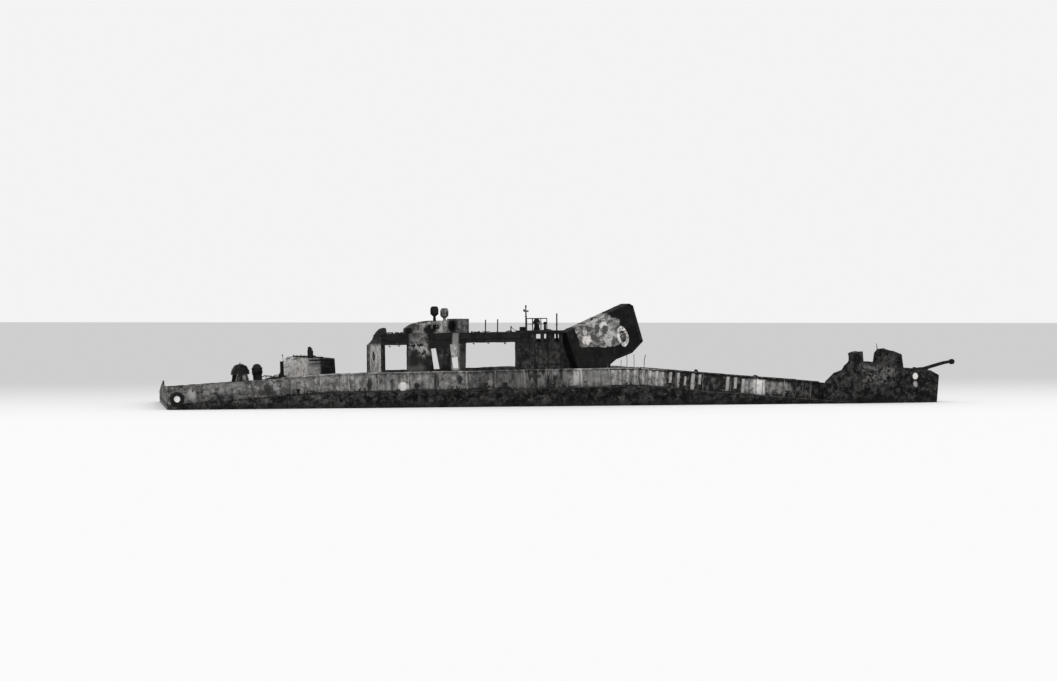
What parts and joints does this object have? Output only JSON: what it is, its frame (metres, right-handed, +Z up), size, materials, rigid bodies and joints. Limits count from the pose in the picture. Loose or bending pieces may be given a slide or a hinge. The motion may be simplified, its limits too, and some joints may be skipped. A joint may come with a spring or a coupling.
{
  "type": "tank landing craft hulk",
  "caption": "Flat-bottomed steel landing craft with a broken back, bow ramp, side deckhouse and stern winch, weathered as a beached hulk.",
  "frame": {"origin": "middle of the box on the ground that the flat bottom stands on", "axes": "+X to the bow, +Y to port, +Z up; the still waterline is at z = 1.64 m"},
  "size_m": [39.7664, 9.95, 6.4057],
  "materials": {
    "bronze": "tarnished",
    "deck": "worn deck paint, scaled",
    "faded": "sun-faded blotched paint",
    "gear": "rusted",
    "house": "scorched and rusted paint",
    "hull_dark": "wet rusted black paint",
    "hull_light": "chalky grey paint, streaked with rust"
  },
  "bodies": {
    "hull": {"hull_stern_section": "hull_dark", "coaming_stern_starboard": "hull_light", "coaming_stern_port": "hull_light", "stern_bulwark": "hull_light", "stern_fairlead": "gear", "winch_frame": "gear", "capstan_base": "gear", "engine_casing": "house", "engine_block": "gear", "skeg_starboard": "hull_dark", "skeg_centre": "hull_dark", "skeg_port": "hull_dark", "bitt_stern_starboard": "gear", "bitt_stern_port": "gear", "hull_mid_section": "hull_dark", "coaming_mid_starboard": "hull_light", "coaming_mid_port": "hull_light", "deckhouse_outer_wall": "house", "deckhouse_inner_wall": "house", "deckhouse_aft_bulkhead": "faded", "deckhouse_roof": "house", "pilothouse": "house", "pilothouse_roof": "house", "steering_stand": "gear", "bridge_rail": "gear", "binnacle": "gear", "splinter_shield": "faded", "roof_vent_1": "gear", "roof_vent_2": "faded", "toppled_shelter": "faded", "buckled_frames": "gear", "port_cabin": "house", "port_cabin_roof": "house", "port_sill": "house", "hull_bow_section": "hull_dark", "coaming_bow_starboard": "hull_light", "coaming_bow_port": "hull_light", "bow_bulwark_starboard": "hull_dark", "bow_bulwark_port": "hull_dark", "bow_wing_starboard": "hull_dark", "bow_wing_port": "hull_dark", "ramp_hoist_arm": "gear", "ramp_hinge": "gear"},
    "ramp": {"bow_ramp": "deck"},
    "winch_drum_body": {"winch_drum": "gear"},
    "capstan_body": {"capstan_head": "gear"},
    "engine_hatch": {"engine_hatch_lid": "gear"},
    "bridge_door": {"pilothouse_door": "house"},
    "cabin_door": {"port_cabin_door": "house"},
    "screw_starboard": {"propeller_starboard": "bronze"},
    "rudder_body_starboard": {"rudder_starboard": "hull_dark"},
    "screw_centre": {"propeller_centre": "bronze"},
    "rudder_body_centre": {"rudder_centre": "hull_dark"},
    "screw_port": {"propeller_port": "bronze"},
    "rudder_body_port": {"rudder_port": "hull_dark"}
  },
  "joints": [
    {"name": "ramp_hinge", "type": "hinge", "parent": "hull", "child": "ramp", "pos_m": [17.62884, 0, 1.22239], "axis": [0, -1, 0], "range_deg": [0, 106]},
    {"name": "propeller_spin_starboard", "type": "hinge", "parent": "hull", "child": "screw_starboard", "pos_m": [-17.40908, -2.6, 0.7344], "axis": [0.9978, 0, 0.0663], "continuous": true},
    {"name": "rudder_turn_starboard", "type": "hinge", "parent": "hull", "child": "rudder_body_starboard", "pos_m": [-18.11339, -2.6, 1.22881], "axis": [-0.0663, 0, 0.9978], "range_deg": [-35, 35]},
    {"name": "propeller_spin_centre", "type": "hinge", "parent": "hull", "child": "screw_centre", "pos_m": [-17.40908, 0, 0.7344], "axis": [0.9978, 0, 0.0663], "continuous": true},
    {"name": "rudder_turn_centre", "type": "hinge", "parent": "hull", "child": "rudder_body_centre", "pos_m": [-18.11339, 0, 1.22881], "axis": [-0.0663, 0, 0.9978], "range_deg": [-35, 35]},
    {"name": "propeller_spin_port", "type": "hinge", "parent": "hull", "child": "screw_port", "pos_m": [-17.40908, 2.6, 0.7344], "axis": [0.9978, 0, 0.0663], "continuous": true},
    {"name": "rudder_turn_port", "type": "hinge", "parent": "hull", "child": "rudder_body_port", "pos_m": [-18.11339, 2.6, 1.22881], "axis": [-0.0663, 0, 0.9978], "range_deg": [-35, 35]},
    {"name": "winch_drum_spin", "type": "hinge", "parent": "hull", "child": "winch_drum_body", "pos_m": [-15.86602, 0, 2.70098], "axis": [0, 1, 0], "continuous": true},
    {"name": "capstan_spin", "type": "hinge", "parent": "hull", "child": "capstan_body", "pos_m": [-15.05648, 0, 2.73471], "axis": [-0.0663, 0, 0.9978], "continuous": true},
    {"name": "engine_hatch_hinge", "type": "hinge", "parent": "hull", "child": "engine_hatch", "pos_m": [-13.2043, 0.8, 3.87998], "axis": [0, -1, 0], "range_deg": [0, 105]},
    {"name": "pilothouse_door_hinge", "type": "hinge", "parent": "hull", "child": "bridge_door", "pos_m": [-3.00832, -3.27, 3.46502], "axis": [-0.014, 0, 0.9999], "range_deg": [0, 95]},
    {"name": "port_cabin_door_hinge", "type": "hinge", "parent": "hull", "child": "cabin_door", "pos_m": [-1.28848, 3.258, 3.48903], "axis": [0.014, 0, -0.9999], "range_deg": [0, 95]}
  ]
}
